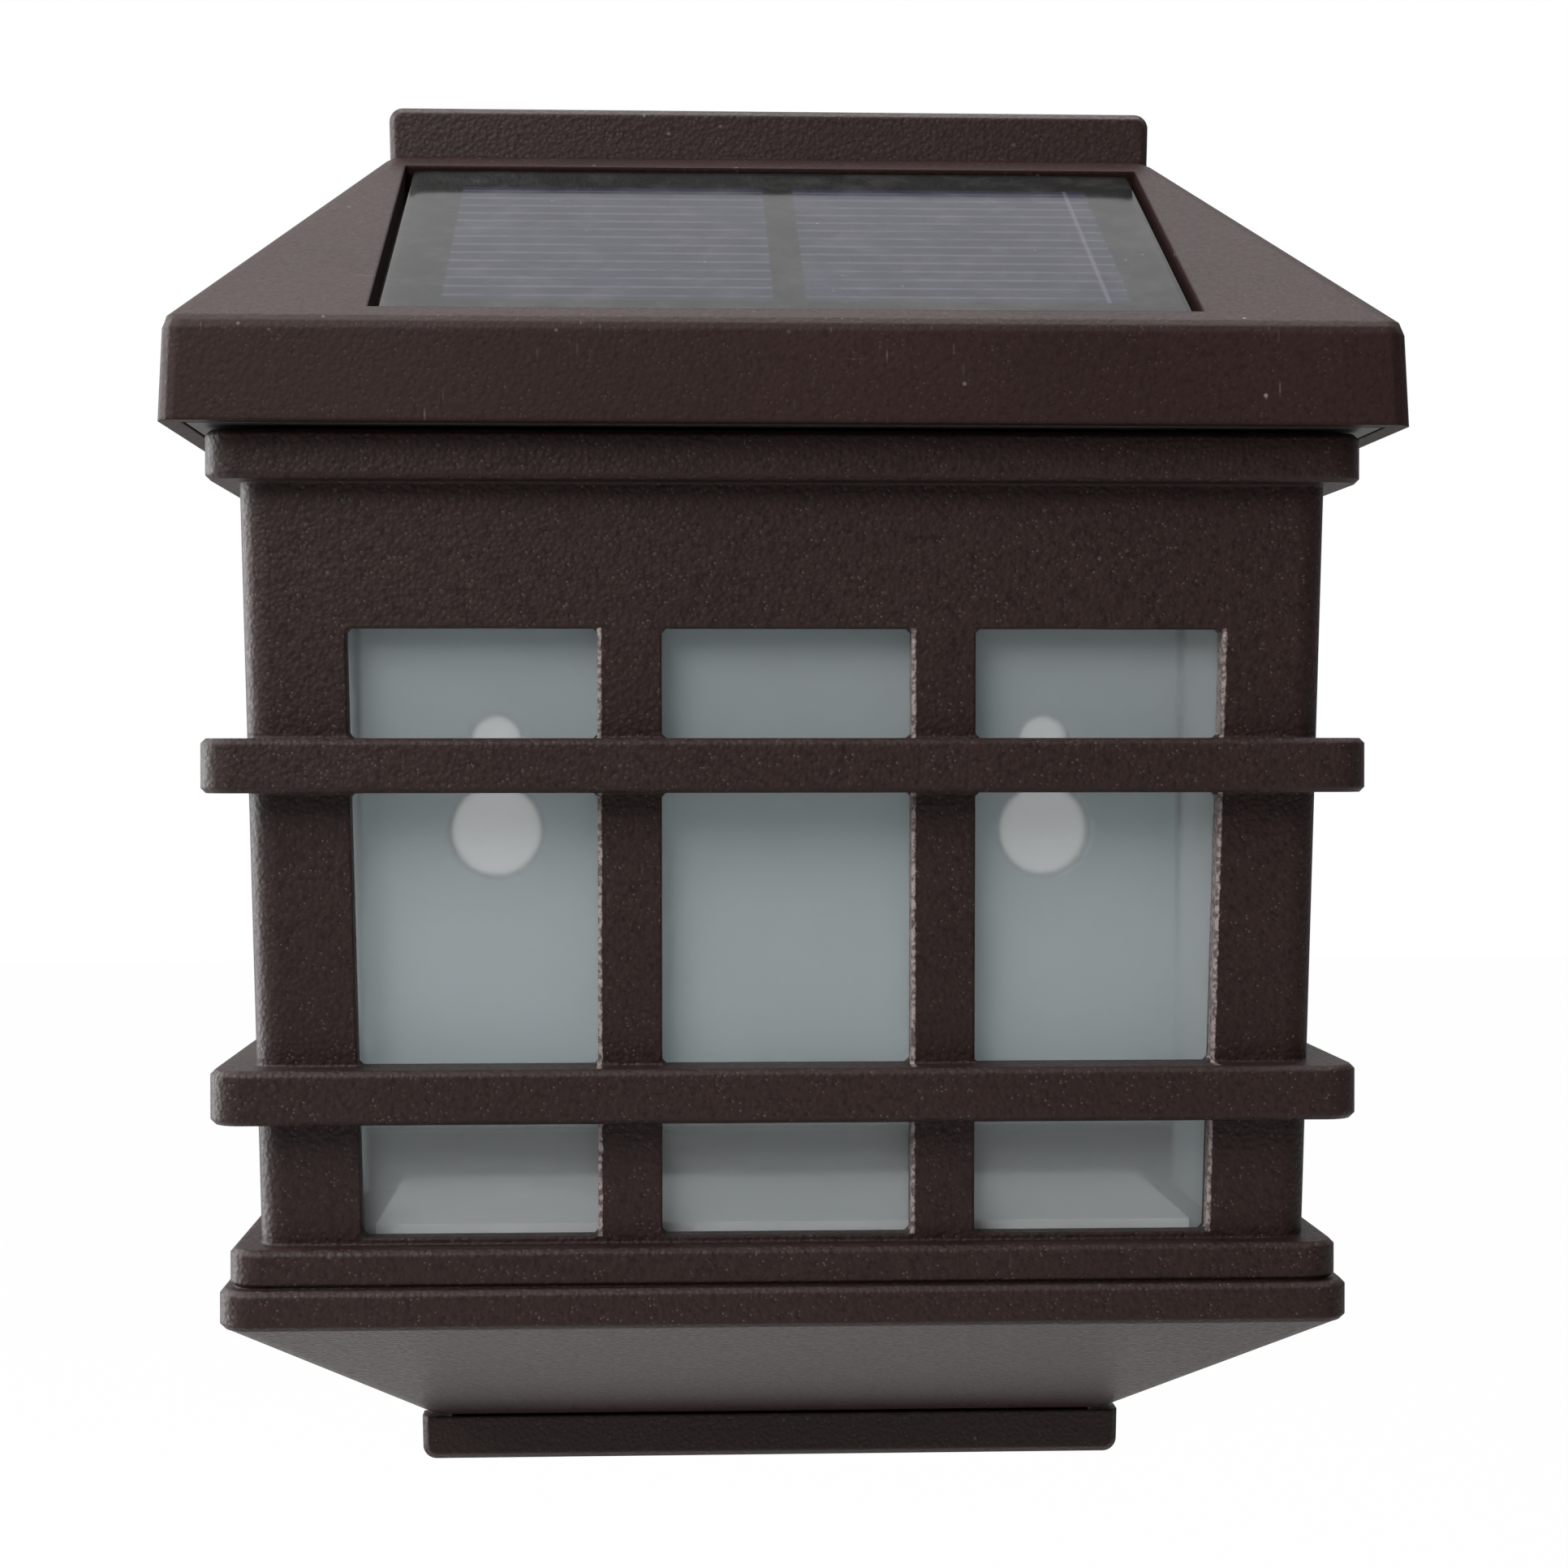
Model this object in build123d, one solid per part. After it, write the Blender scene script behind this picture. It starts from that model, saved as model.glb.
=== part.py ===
from build123d import *
import os
from math import atan2, cos, degrees, hypot, radians, sin, tan

os.makedirs("parts", exist_ok=True)

# Solar fence lantern, in millimetres. The wall is the plane y = 0, the light faces -Y and +Z is up.
# The origin is on the wall, half way up the wall plate.

# ---------------------------------------------------------------- driving dimensions
GAP = 0.3  # room between pieces that go together
CUT = 20.0  # how far a cutting tool runs past what it cuts

# housing: body, collar, bands, foot
RIM_Z = 32.0  # top of the collar
BODY_WIDTH = 98.1  # across the body at the rim
BODY_DEPTH = 40.05  # wall to body front at the rim
BODY_DRAFT = 1.3  # degrees by which front and sides lean inwards on the way down
BODY_CORNER = 2.5
HOUSING_WALL = 2.2
COLLAR_HEIGHT = 4.4
COLLAR_OVERHANG = 2.65
UPPER_BAND_Z = -0.1  # underside of the upper band
LOWER_BAND_Z = -29.5
BAND_HEIGHT = 4.85
BAND_OVERHANG = 3.7
TRIM_Z = -44.25  # underside of the upper step of the foot
TRIM_HEIGHT = 3.5
TRIM_OVERHANG = 2.55
FOOT_HEIGHT = 3.6
FOOT_OVERHANG = 3.45
BAND_EASE = 0.45  # eased edges of collar, bands and foot

# window grille
WINDOW_TOP = 14.6
WINDOW_SILL = -40.1
STILE = 9.25  # body corner to first window
MULLION = 5.75
MULLION_X = 14.1  # middle of the light to middle of a mullion
REAR_STILE = 8.5  # wall to the side windows
WINDOW_CORNER = 0.4  # eased corners

# underside and wall plate
UNDER_SETBACK = 0.5  # step from the foot's edge to the sloping underside
UNDER_DROP = 16.65  # foot to the lowest line of the underside, at the wall plate
UNDER_WALL = 2.4  # measured upwards
PLATE_BOTTOM_WIDTH = 71.6
TAB_MARGIN = 0.35  # the lower tab is this much wider than the underside, each side
TOP_TAB = 5.1  # plate above the ridge
LOWER_TAB = 4.7  # plate below the underside
TAB_THICK = 3.0
TAB_CORNER = 1.4
TAB_EASE = 0.6
PANEL_THICK = 2.0  # wall plate behind the lamp chamber
KEYHOLE_SPACING = 56.5
KEYHOLE_Z = -4.6
KEYHOLE_R = 4.6
KEYHOLE_SLOT_R = 2.5
KEYHOLE_RISE = 9.2

# roof cap
FASCIA_OVERHANG = 5.95  # from the body at the rim, front and sides
FASCIA_HEIGHT = 8.9
FASCIA_DRAFT = 2.2
FASCIA_CORNER = 1.15  # corner eased in three flats
EAVE_EASE = 0.8  # softening of the eave
ROOF_RISE = 22.9
RIDGE_WIDTH = 78.0  # the top tab is as wide
CAP_WALL = 2.0
ROOF_THICK = 2.4  # measured upwards
CAP_LEDGE = 1.2  # step inside the cap that the gasket meets

# solar panel, bedded in a recess that follows the roof slope
SOLAR_SIDE_MARGIN = 2.9  # ridge end to glass
SOLAR_SETBACK = 3.3  # up the slope from the eave to the glass
SOLAR_TOP_MARGIN = 3.4  # down the slope from the ridge to the glass
SOLAR_SIDE_GAP = 0.9
SOLAR_END_GAP = 0.3
SOLAR_INSET = 0.3  # glass below the roof surface
GLASS_THICK = 1.2
GLASS_CHAMFER = 0.25
CELL_THICK = 0.25
BACKING_THICK = 0.8
ADHESIVE_THICK = 0.4
ADHESIVE_WIDTH = 3.0
RECESS_FLOOR = 1.4
RECESS_WALL = 1.5
CELL_SIDE_MARGIN = 5.2
CELL_END_MARGIN = 3.0
CELL_SPLIT = 3.0
RIBBON_WIDTH = 1.2
RIBBON_THICK = 0.12

# head tray and what it carries
TRAY_THICK = 2.0
GASKET_THICK = 0.8
SKIRT_DEPTH = 6.0
SKIRT_WALL = 1.4
CAP_BOSS_R = 2.8
CAP_BOSS_INSET = 12.5  # fascia to a boss, at the front and sides
CAP_BOSS_REAR_INSET = 7.2
BATTERY_R = 7.25
BATTERY_LENGTH = 50.5
NUB_R = 2.75
NUB_LENGTH = 1.2
WELL_WALL = 1.3
WELL_SPRING_ROOM = 4.0
CONTACT_THICK = 0.4
CONTACT_HEIGHT = 8.0
CONTACT_ARM = 2.2
HINGE_R = 1.3
HINGE_PIN_R = 0.6
HINGE_FIT = 0.05
HINGE_OFFSET = 1.8  # door edge to hinge axis
KNUCKLE_X = 18.0
KNUCKLE_LENGTH = 6.0
DOOR_THICK = 1.7
LATCH_WIDTH = 10.0
LATCH_RISE = 2.4
LATCH_THICK = 0.9
BOARD_RISE = 4.0  # tray top to board
BOARD_THICK = 1.2
BOARD_WIDTH = 76.0
BOARD_DEPTH = 8.0
BOARD_INSET = 9.5  # fascia to the board's front edge
BOARD_POST_X = 28.0
BOARD_POST_R = 2.2
LED_X = 17.0
LED_R = 2.5
LED_FLANGE_R = 2.9
LED_FLANGE = 1.0
LED_DROP = 1.3  # bare leads between board and lamp
LED_LENGTH = 8.6
DOME_ANGLES = (0, 30, 55, 80)  # the dome's rings, in few faces
LED_LEAD = 0.5
LED_LEAD_PITCH = 2.54
SWITCH_LENGTH = 9.0
SWITCH_WIDTH = 4.0
SWITCH_WALL = 0.7
KNOB_LENGTH = 2.4
KNOB_WIDTH = 1.5
KNOB_FOOT = 1.0
KNOB_FOOT_LIP = 0.4
KNOB_TRAVEL = 3.0
KNOB_DROP = 4.5  # below the tray top
CHIP_SIZE = 4.0
CHIP_HEIGHT = 1.3
CHIP_X = -7.0
COIL_R = 3.0
COIL_HEIGHT = 3.2
COIL_X = 9.3
LEAD_R = 0.5
LEAD_X = 22.5
LEAD_PITCH = 2.0
LEAD_OFFSET = 1.0  # behind the board's middle line

# light chamber
DECK_THICK = 1.6
FLOOR_TOP = -39.5
FLOOR_THICK = 1.5
FLOOR_SIDE_ROOM = 7.9
RAIL_HEIGHT = 5.8
RAIL_THICK = 1.8
DIFFUSER_WALL = 1.3
LINER_SIDE_ROOM = 2.9  # side wall to the liner
LINER_CORNER = 1.0
DIFFUSER_TOP = 18.0
REFLECTOR_THICK = 0.8
REFLECTOR_TOP = 18.0
REFLECTOR_SIDE_ROOM = 3.2

# screws
SCREW_R = 1.2
SCREW_HEAD_R = 2.3
SCREW_HEAD = 1.5
SCREW_LENGTH = 8.0
SCREW_FIT = 0.05
HEAD_SIDES = 16
CORE_SIDES = 8
BOARD_SCREW_R = 0.9
BOARD_SCREW_HEAD_R = 1.8
BOARD_SCREW_HEAD = 1.1
BOARD_SCREW_LENGTH = 4.2
PLATE_BOSS_R = 2.8
PLATE_BOSS_INSET = 3.7  # side wall to the boss's middle
PLATE_BOSS_DEPTH = 8.5
PLATE_PAD_R = 3.2  # half its side
PLATE_PAD = 1.6
UPPER_BOSS_Z = 21.8
LOWER_BOSS_Z = -46.6

# ---------------------------------------------------------------- derived places
FOOT_Z = TRIM_Z - FOOT_HEIGHT
FLOOR_Z = FLOOR_TOP - FLOOR_THICK  # top of the deck that the floor reflector lies on
FAR = 4 * BODY_WIDTH  # beyond everything
UNDER_Z = FOOT_Z - UNDER_DROP
UNDER_WIDTH = PLATE_BOTTOM_WIDTH - 2 * TAB_MARGIN
FASCIA_WIDTH = BODY_WIDTH + 2 * FASCIA_OVERHANG
FASCIA_DEPTH = BODY_DEPTH + FASCIA_OVERHANG
TRAY_Z = RIM_Z + GAP
TRAY_TOP = TRAY_Z + TRAY_THICK
LEDGE_Z = TRAY_TOP + GASKET_THICK
FASCIA_Z = TRAY_Z
EAVE_Z = FASCIA_Z + FASCIA_HEIGHT
FASCIA_LEAN = FASCIA_HEIGHT * tan(radians(FASCIA_DRAFT))
EAVE_HALF = FASCIA_WIDTH / 2 - FASCIA_LEAN
EAVE_DEPTH = FASCIA_DEPTH - FASCIA_LEAN
CAP_BACK = TAB_THICK + GAP  # wall to the cap's back, behind which the plate's neck stands
RIDGE_DEPTH = CAP_BACK
RIDGE_Z = EAVE_Z + ROOF_RISE
PLATE_TOP_Z = RIDGE_Z + TOP_TAB
PLATE_BOTTOM_Z = UNDER_Z - LOWER_TAB
SLOPE = degrees(atan2(ROOF_RISE, EAVE_DEPTH - RIDGE_DEPTH))
ROOF_PLANE = Plane(
    origin=(0, -EAVE_DEPTH, EAVE_Z),
    x_dir=(1, 0, 0),
    z_dir=(0, -sin(radians(SLOPE)), cos(radians(SLOPE))),
)
SOLAR_WIDTH = RIDGE_WIDTH - 2 * SOLAR_SIDE_MARGIN
SOLAR_LENGTH = hypot(ROOF_RISE, EAVE_DEPTH - RIDGE_DEPTH) - SOLAR_SETBACK - SOLAR_TOP_MARGIN
LINK_HALF = UNDER_WIDTH / 2 - HOUSING_WALL - GAP  # strip that joins the plate to its lower tab
GLASS_LOW = -SOLAR_INSET - GLASS_THICK
CELL_LOW = GLASS_LOW - CELL_THICK
BACKING_LOW = CELL_LOW - BACKING_THICK
RECESS_LOW = BACKING_LOW - ADHESIVE_THICK
BATTERY_Z = TRAY_TOP + GAP + BATTERY_R
WELL_R = BATTERY_R + GAP
BATTERY_DEPTH = CAP_BACK + CAP_WALL + CAP_LEDGE + GAP + WELL_WALL + WELL_R  # wall to the cell's axis
WELL_X0 = -BATTERY_LENGTH / 2 - WELL_SPRING_ROOM
WELL_X1 = BATTERY_LENGTH / 2 + GAP + CONTACT_THICK
WELL_FRONT = BATTERY_DEPTH + WELL_R  # wall to the well's front face
WELL_REAR = BATTERY_DEPTH - WELL_R
HINGE_DEPTH = WELL_FRONT - GAP + HINGE_OFFSET
HINGE_Z = TRAY_Z + DOOR_THICK / 2
BOARD_LINE = FASCIA_DEPTH - BOARD_INSET - BOARD_DEPTH / 2  # wall to the board's middle line
LEAD_LINE = BOARD_LINE - LEAD_OFFSET
BOARD_Z = TRAY_TOP + BOARD_RISE
BOARD_TOP = BOARD_Z + BOARD_THICK
PLATE_SCREW_PLACES = [(UPPER_BOSS_Z, 1), (UPPER_BOSS_Z, -1), (LOWER_BOSS_Z, 1), (LOWER_BOSS_Z, -1)]
CAP_BOSS_DEPTHS = (FASCIA_DEPTH - CAP_BOSS_INSET, CAP_BACK + CAP_BOSS_REAR_INSET)
TRAY_SCREW_PLACES = [
    (side * (FASCIA_WIDTH / 2 - CAP_BOSS_INSET), -depth) for side in (-1, 1) for depth in CAP_BOSS_DEPTHS
]
WINDOW_ROWS = [
    (UPPER_BAND_Z + BAND_HEIGHT, WINDOW_TOP),
    (LOWER_BAND_Z + BAND_HEIGHT, UPPER_BAND_Z),
    (WINDOW_SILL, LOWER_BAND_Z),
]


def lean(z):
    """How far front and sides have come in at height z."""
    return (RIM_Z - z) * tan(radians(BODY_DRAFT))


def body_half(z):
    return BODY_WIDTH / 2 - lean(z)


def body_depth(z):
    return BODY_DEPTH - lean(z)


def inner_half(z):
    return body_half(z) - HOUSING_WALL


def inner_depth(z):
    return body_depth(z) - HOUSING_WALL


# ---------------------------------------------------------------- shapes used more than once
def box(x0, x1, y0, y1, z0, z1):
    """Box between two corners."""
    return Pos((x0 + x1) / 2, (y0 + y1) / 2, (z0 + z1) / 2) * Box(x1 - x0, y1 - y0, z1 - z0)


def front_of(y):
    """Everything in front of the plane y."""
    return box(-FAR, FAR, -FAR, y, -FAR, FAR)


def wall_loft(*levels, corner, flat=False):
    """Block against the wall through rising levels, each (z, half width, depth), corners rounded or flat."""
    plans = []
    for z, half, depth in levels:
        if flat:
            plan = chamfer(Rectangle(2 * half, 2 * depth).vertices(), corner)
            plan = chamfer(plan.vertices(), corner / 3)
        else:
            plan = RectangleRounded(2 * half, 2 * depth, corner)
        plans.append(Plane.XY.offset(z) * plan)
    return loft(plans, ruled=True)


def body_shape(inset, z_low, z_high):
    """The body's drafted form, drawn in by inset, whole on both sides of the wall plane."""
    low, high = [(z, body_half(z) - inset, body_depth(z) - inset) for z in (z_low, z_high)]
    return wall_loft(low, high, corner=max(BODY_CORNER - inset, 0.4))


def band(z, height, overhang):
    """A rounded band that runs round the front and both sides of the body."""
    middle = z + height / 2
    half = body_half(middle) + overhang
    depth = body_depth(middle) + overhang
    plan = RectangleRounded(2 * half, 2 * depth, BODY_CORNER + BAND_EASE)
    block = extrude(Plane.XY.offset(z) * plan, height)
    ends = block.edges().filter_by(lambda e: abs(e.center().Z - middle) > height / 2 - 0.01)
    return chamfer(ends, BAND_EASE) & front_of(0)


def slope_box(x0, x1, up0, up1, low, high):
    """Box in the roof's own plane: across, up the slope from the eave, and out of the surface."""
    middle = Pos((x0 + x1) / 2, (up0 + up1) / 2, (low + high) / 2)
    return ROOF_PLANE * middle * Box(x1 - x0, up1 - up0, high - low)


def screw(radius, head_r, head, length):
    """Self-tapping screw in few faces: pan head with a cross slot below z = 0, plain core above."""
    rim = RegularPolygon(head_r, HEAD_SIDES)
    crown = Plane.XY.offset(-head) * RegularPolygon(head_r - head / 3, HEAD_SIDES)
    body = extrude(rim, -2 * head / 3)
    body += loft([Plane.XY.offset(-2 * head / 3) * rim, crown], ruled=True)
    for turn in (0, 90):
        slot = Box(1.3 * head_r, 0.26 * head_r, head)
        body -= Rot(0, 0, turn) * Pos(0, 0, -head) * slot
    return body + extrude(RegularPolygon(radius, CORE_SIDES), length)


def together(solids):
    return Compound(children=[s for part in solids for s in part.solids()])


# ---------------------------------------------------------------- housing
def front_window(column, row):
    """Cutting block of one front window: outer sides follow the draft, mullions are upright."""
    low, high = row
    inner = MULLION_X - MULLION / 2
    if column == 0:
        corners = [(-inner, low), (inner, low), (inner, high), (-inner, high)]
    else:
        edge = MULLION_X + MULLION / 2
        outer = [(body_half(z) - STILE, z) for z in (low, high)]
        corners = [(edge, low), *outer, (edge, high)]
        corners = [(column * x, z) for x, z in corners]
    outline = make_face(Polyline(*corners, close=True))
    outline = chamfer(outline.vertices(), WINDOW_CORNER)
    depth = BODY_DEPTH + BAND_OVERHANG + CUT
    return extrude(Plane.XZ.offset(depth) * outline, -(depth - inner_depth(WINDOW_SILL) + HOUSING_WALL))


def side_window(row):
    """Cutting block through both side walls."""
    low, high = row
    corners = [
        (REAR_STILE, low),
        (body_depth(low) - STILE, low),
        (body_depth(high) - STILE, high),
        (REAR_STILE, high),
    ]
    outline = make_face(Polyline(*[(-y, z) for y, z in corners], close=True))
    outline = chamfer(outline.vertices(), WINDOW_CORNER)
    return extrude(Plane.YZ * outline, FASCIA_WIDTH, both=True)


def underside_loft(rise):
    half = body_half(FOOT_Z + FOOT_HEIGHT / 2) + FOOT_OVERHANG - UNDER_SETBACK
    depth = body_depth(FOOT_Z + FOOT_HEIGHT / 2) + FOOT_OVERHANG - UNDER_SETBACK
    low = (UNDER_Z + rise, UNDER_WIDTH / 2, TAB_THICK)
    high = (FOOT_Z + rise, half, depth)
    return wall_loft(low, high, corner=BODY_CORNER)


def plate_boss_x(z):
    return inner_half(z) - PLATE_BOSS_INSET


def housing():
    shell = body_shape(0, FOOT_Z, RIM_Z) + underside_loft(0)
    shell &= front_of(0)
    shell += band(RIM_Z - COLLAR_HEIGHT, COLLAR_HEIGHT, COLLAR_OVERHANG)
    shell += band(UPPER_BAND_Z, BAND_HEIGHT, BAND_OVERHANG)
    shell += band(LOWER_BAND_Z, BAND_HEIGHT, BAND_OVERHANG)
    shell += band(TRIM_Z, TRIM_HEIGHT, TRIM_OVERHANG)
    shell += band(FOOT_Z, FOOT_HEIGHT, FOOT_OVERHANG)
    chamber = body_shape(HOUSING_WALL, FLOOR_Z, RIM_Z + CUT)
    under_room = body_shape(HOUSING_WALL, UNDER_Z - CUT, FLOOR_Z - DECK_THICK)
    under_room &= underside_loft(UNDER_WALL) + box(-FAR, FAR, -FAR, FAR, FOOT_Z + UNDER_WALL, 0)
    shell -= chamber + under_room
    for row in WINDOW_ROWS:
        for column in (-1, 0, 1):
            shell -= front_window(column, row)
        shell -= side_window(row)
    # room for the plate: its lower strip and its front face; then the rail behind the deck
    back = PANEL_THICK + GAP
    shell -= box(-LINK_HALF - GAP, LINK_HALF + GAP, -back, CUT, UNDER_Z - 1, UNDER_Z + 2 * UNDER_WALL)
    shell -= box(-inner_half(FLOOR_Z), inner_half(FLOOR_Z), -back, CUT, FLOOR_Z - DECK_THICK, FLOOR_Z)
    rail_front = back + REFLECTOR_THICK + GAP + RAIL_THICK
    rail_half = inner_half(FLOOR_Z) + HOUSING_WALL / 2
    shell += box(
        -rail_half, rail_half, -rail_front, -(rail_front - RAIL_THICK), FLOOR_Z - GAP, FLOOR_Z + RAIL_HEIGHT
    )
    for z, side in PLATE_SCREW_PLACES:
        shell += plate_screw_boss(z, side)
    for z, side in PLATE_SCREW_PLACES:
        hole = Cylinder(SCREW_R + SCREW_FIT, 2 * SCREW_LENGTH)
        shell -= Pos(side * plate_boss_x(z), -PANEL_THICK, z) * Rot(90, 0, 0) * hole
    return shell


def plate_screw_boss(z, side):
    """Boss for one plate screw, with a web to the side wall."""
    x = plate_boss_x(z)
    start = PANEL_THICK + PLATE_PAD
    middle = Pos(side * x, -(start + PLATE_BOSS_DEPTH / 2), z)
    boss = middle * Rot(90, 0, 0) * Cylinder(PLATE_BOSS_R, PLATE_BOSS_DEPTH)
    ends = sorted((side * x, side * (inner_half(z) + HOUSING_WALL / 2)))
    web = box(*ends, -(start + PLATE_BOSS_DEPTH), -start, z - PLATE_BOSS_R / 2, z + PLATE_BOSS_R / 2)
    return boss + web


# ---------------------------------------------------------------- wall plate
def keyhole(grow, depth):
    """Cutting block of one keyhole: round entry with a narrower slot above it."""
    entry = Circle(KEYHOLE_R + grow)
    slot = Pos(0, KEYHOLE_RISE / 2) * Rectangle(2 * (KEYHOLE_SLOT_R + grow), KEYHOLE_RISE)
    slot += Pos(0, KEYHOLE_RISE) * Circle(KEYHOLE_SLOT_R + grow)
    return extrude(Plane.XZ * (entry + slot), depth, both=True)


def with_keyholes(sheet, grow):
    for side in (-1, 1):
        sheet -= Pos(side * KEYHOLE_SPACING / 2, 0, KEYHOLE_Z) * keyhole(grow, CUT)
    return sheet


def plate_half(z):
    """Half width of the plate's tapered outline."""
    share = (z - PLATE_BOTTOM_Z) / (PLATE_TOP_Z - PLATE_BOTTOM_Z)
    return (PLATE_BOTTOM_WIDTH + (RIDGE_WIDTH - PLATE_BOTTOM_WIDTH) * share) / 2


def tab(z0, z1, outer_end):
    """Upper or lower tab: tapered sheet with its two outer corners rounded."""
    corners = [(-plate_half(z0), z0), (plate_half(z0), z0), (plate_half(z1), z1), (-plate_half(z1), z1)]
    outline = make_face(Polyline(*corners, close=True))
    outer = [v for v in outline.vertices() if abs(v.Y - outer_end) < 0.01]
    outline = fillet(outer, TAB_CORNER)
    sheet = extrude(Plane.XZ * outline, TAB_THICK)
    front = [e for e in sheet.edges().group_by(Axis.Y)[0] if e.center().Z != z0 + z1 - outer_end]
    return chamfer(front, TAB_EASE)


def wall_plate():
    gap = HOUSING_WALL + GAP
    panel = body_shape(gap, UNDER_Z, RIM_Z)
    room = underside_loft(UNDER_WALL + GAP) + box(-FAR, FAR, -FAR, FAR, FOOT_Z + UNDER_WALL + GAP, FAR)
    panel = panel & room & box(-FAR, FAR, -PANEL_THICK, 0, -FAR, FAR)
    plate = panel + tab(RIM_Z, PLATE_TOP_Z, PLATE_TOP_Z)
    foot_top = UNDER_Z - GAP
    plate += tab(PLATE_BOTTOM_Z, foot_top, PLATE_BOTTOM_Z)
    plate += box(-LINK_HALF, LINK_HALF, -PANEL_THICK, 0, foot_top - 1, UNDER_Z + 2 * UNDER_WALL)
    for z, side in PLATE_SCREW_PLACES:
        pad = Box(2 * PLATE_PAD_R, PLATE_PAD, 2 * PLATE_PAD_R)
        plate += Pos(side * plate_boss_x(z), -(PANEL_THICK + PLATE_PAD / 2), z) * pad
    plate &= body_shape(gap, UNDER_Z - CUT, RIM_Z) + box(-FAR, FAR, -TAB_THICK, 0, -FAR, FAR)
    for z, side in PLATE_SCREW_PLACES:
        place = Pos(side * plate_boss_x(z), 0, z) * Rot(90, 0, 0)
        plate -= place * Cylinder(SCREW_R + 2 * GAP, 2 * CUT)
        plate -= place * Cylinder(SCREW_HEAD_R + GAP, 2 * (SCREW_HEAD + GAP))
    return with_keyholes(plate, 0)


def plate_screws():
    made = []
    for z, side in PLATE_SCREW_PLACES:
        place = Pos(side * plate_boss_x(z), -(SCREW_HEAD + GAP), z) * Rot(90, 0, 0)
        made.append(place * screw(SCREW_R, SCREW_HEAD_R, SCREW_HEAD, SCREW_LENGTH))
    return together(made)


# ---------------------------------------------------------------- light chamber
def liner_form(inset, z_low, z_high):
    """The liner's drafted form: close behind the front wall, further in from the side walls."""
    low, high = [
        (z, inner_half(z) - LINER_SIDE_ROOM - inset, inner_depth(z) - GAP - inset) for z in (z_low, z_high)
    ]
    return wall_loft(low, high, corner=LINER_CORNER)


def diffuser():
    """Frosted liner behind the windows: a front pane and two side panes in one piece."""
    low = FLOOR_Z + GAP
    outer = liner_form(0, low, DIFFUSER_TOP)
    inner = liner_form(DIFFUSER_WALL, low - CUT, DIFFUSER_TOP + CUT)
    rear = PANEL_THICK + GAP + REFLECTOR_THICK + GAP + RAIL_THICK + GAP
    return (outer - inner) & front_of(-rear)


def floor_reflector():
    rear = PANEL_THICK + GAP + REFLECTOR_THICK + GAP + RAIL_THICK + GAP
    front = inner_depth(FLOOR_Z) - GAP - DIFFUSER_WALL - GAP
    half = inner_half(FLOOR_Z) - FLOOR_SIDE_ROOM
    return box(-half, half, -front, -rear, FLOOR_Z, FLOOR_TOP)


def back_reflector():
    low = FLOOR_Z + RAIL_HEIGHT + GAP
    half = inner_half(FLOOR_Z) - REFLECTOR_SIDE_ROOM
    sheet = box(-half, half, -(PANEL_THICK + REFLECTOR_THICK), -PANEL_THICK, low, REFLECTOR_TOP)
    return with_keyholes(sheet, GAP)


# ---------------------------------------------------------------- roof cap
def roof_level(rise, drop=0):
    """Outline of the roof at a height above the eave, the whole roof lowered by drop."""
    share = rise / ROOF_RISE
    half = EAVE_HALF + (RIDGE_WIDTH / 2 - EAVE_HALF) * share
    depth = EAVE_DEPTH + (RIDGE_DEPTH - EAVE_DEPTH) * share
    return (EAVE_Z + rise - drop, half, depth)


def roof_loft(drop):
    levels = roof_level(0, drop), roof_level(ROOF_RISE, drop)
    return wall_loft(*levels, corner=FASCIA_CORNER, flat=True)


def cap_outer():
    """Fascia and roof as one form, its eave eased in two flats."""
    foot = (FASCIA_Z, FASCIA_WIDTH / 2, FASCIA_DEPTH)
    below = (EAVE_Z - EAVE_EASE, EAVE_HALF, EAVE_DEPTH)
    half, depth = EAVE_HALF - EAVE_EASE / 4, EAVE_DEPTH - EAVE_EASE / 4
    arris = (EAVE_Z - EAVE_EASE / 4, half, depth)
    roof = roof_level(EAVE_EASE / 2), roof_level(ROOF_RISE)
    return wall_loft(foot, below, arris, *roof, corner=FASCIA_CORNER, flat=True) & front_of(0)


def cap_room(z0, z1, step):
    """Room inside the cap between two levels, its walls thicker by step."""
    wall = CAP_WALL + step
    half = FASCIA_WIDTH / 2 - wall
    return box(-half, half, -(FASCIA_DEPTH - wall), -(CAP_BACK + CAP_WALL), z0, z1)


def recess(grow, low, high):
    """Block of the panel recess in the roof plane, widened by grow."""
    half = SOLAR_WIDTH / 2 + SOLAR_SIDE_GAP + grow
    start = SOLAR_SETBACK - SOLAR_END_GAP - grow
    end = SOLAR_SETBACK + SOLAR_LENGTH + SOLAR_END_GAP + grow
    return slope_box(-half, half, start, end, low, high)


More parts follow.
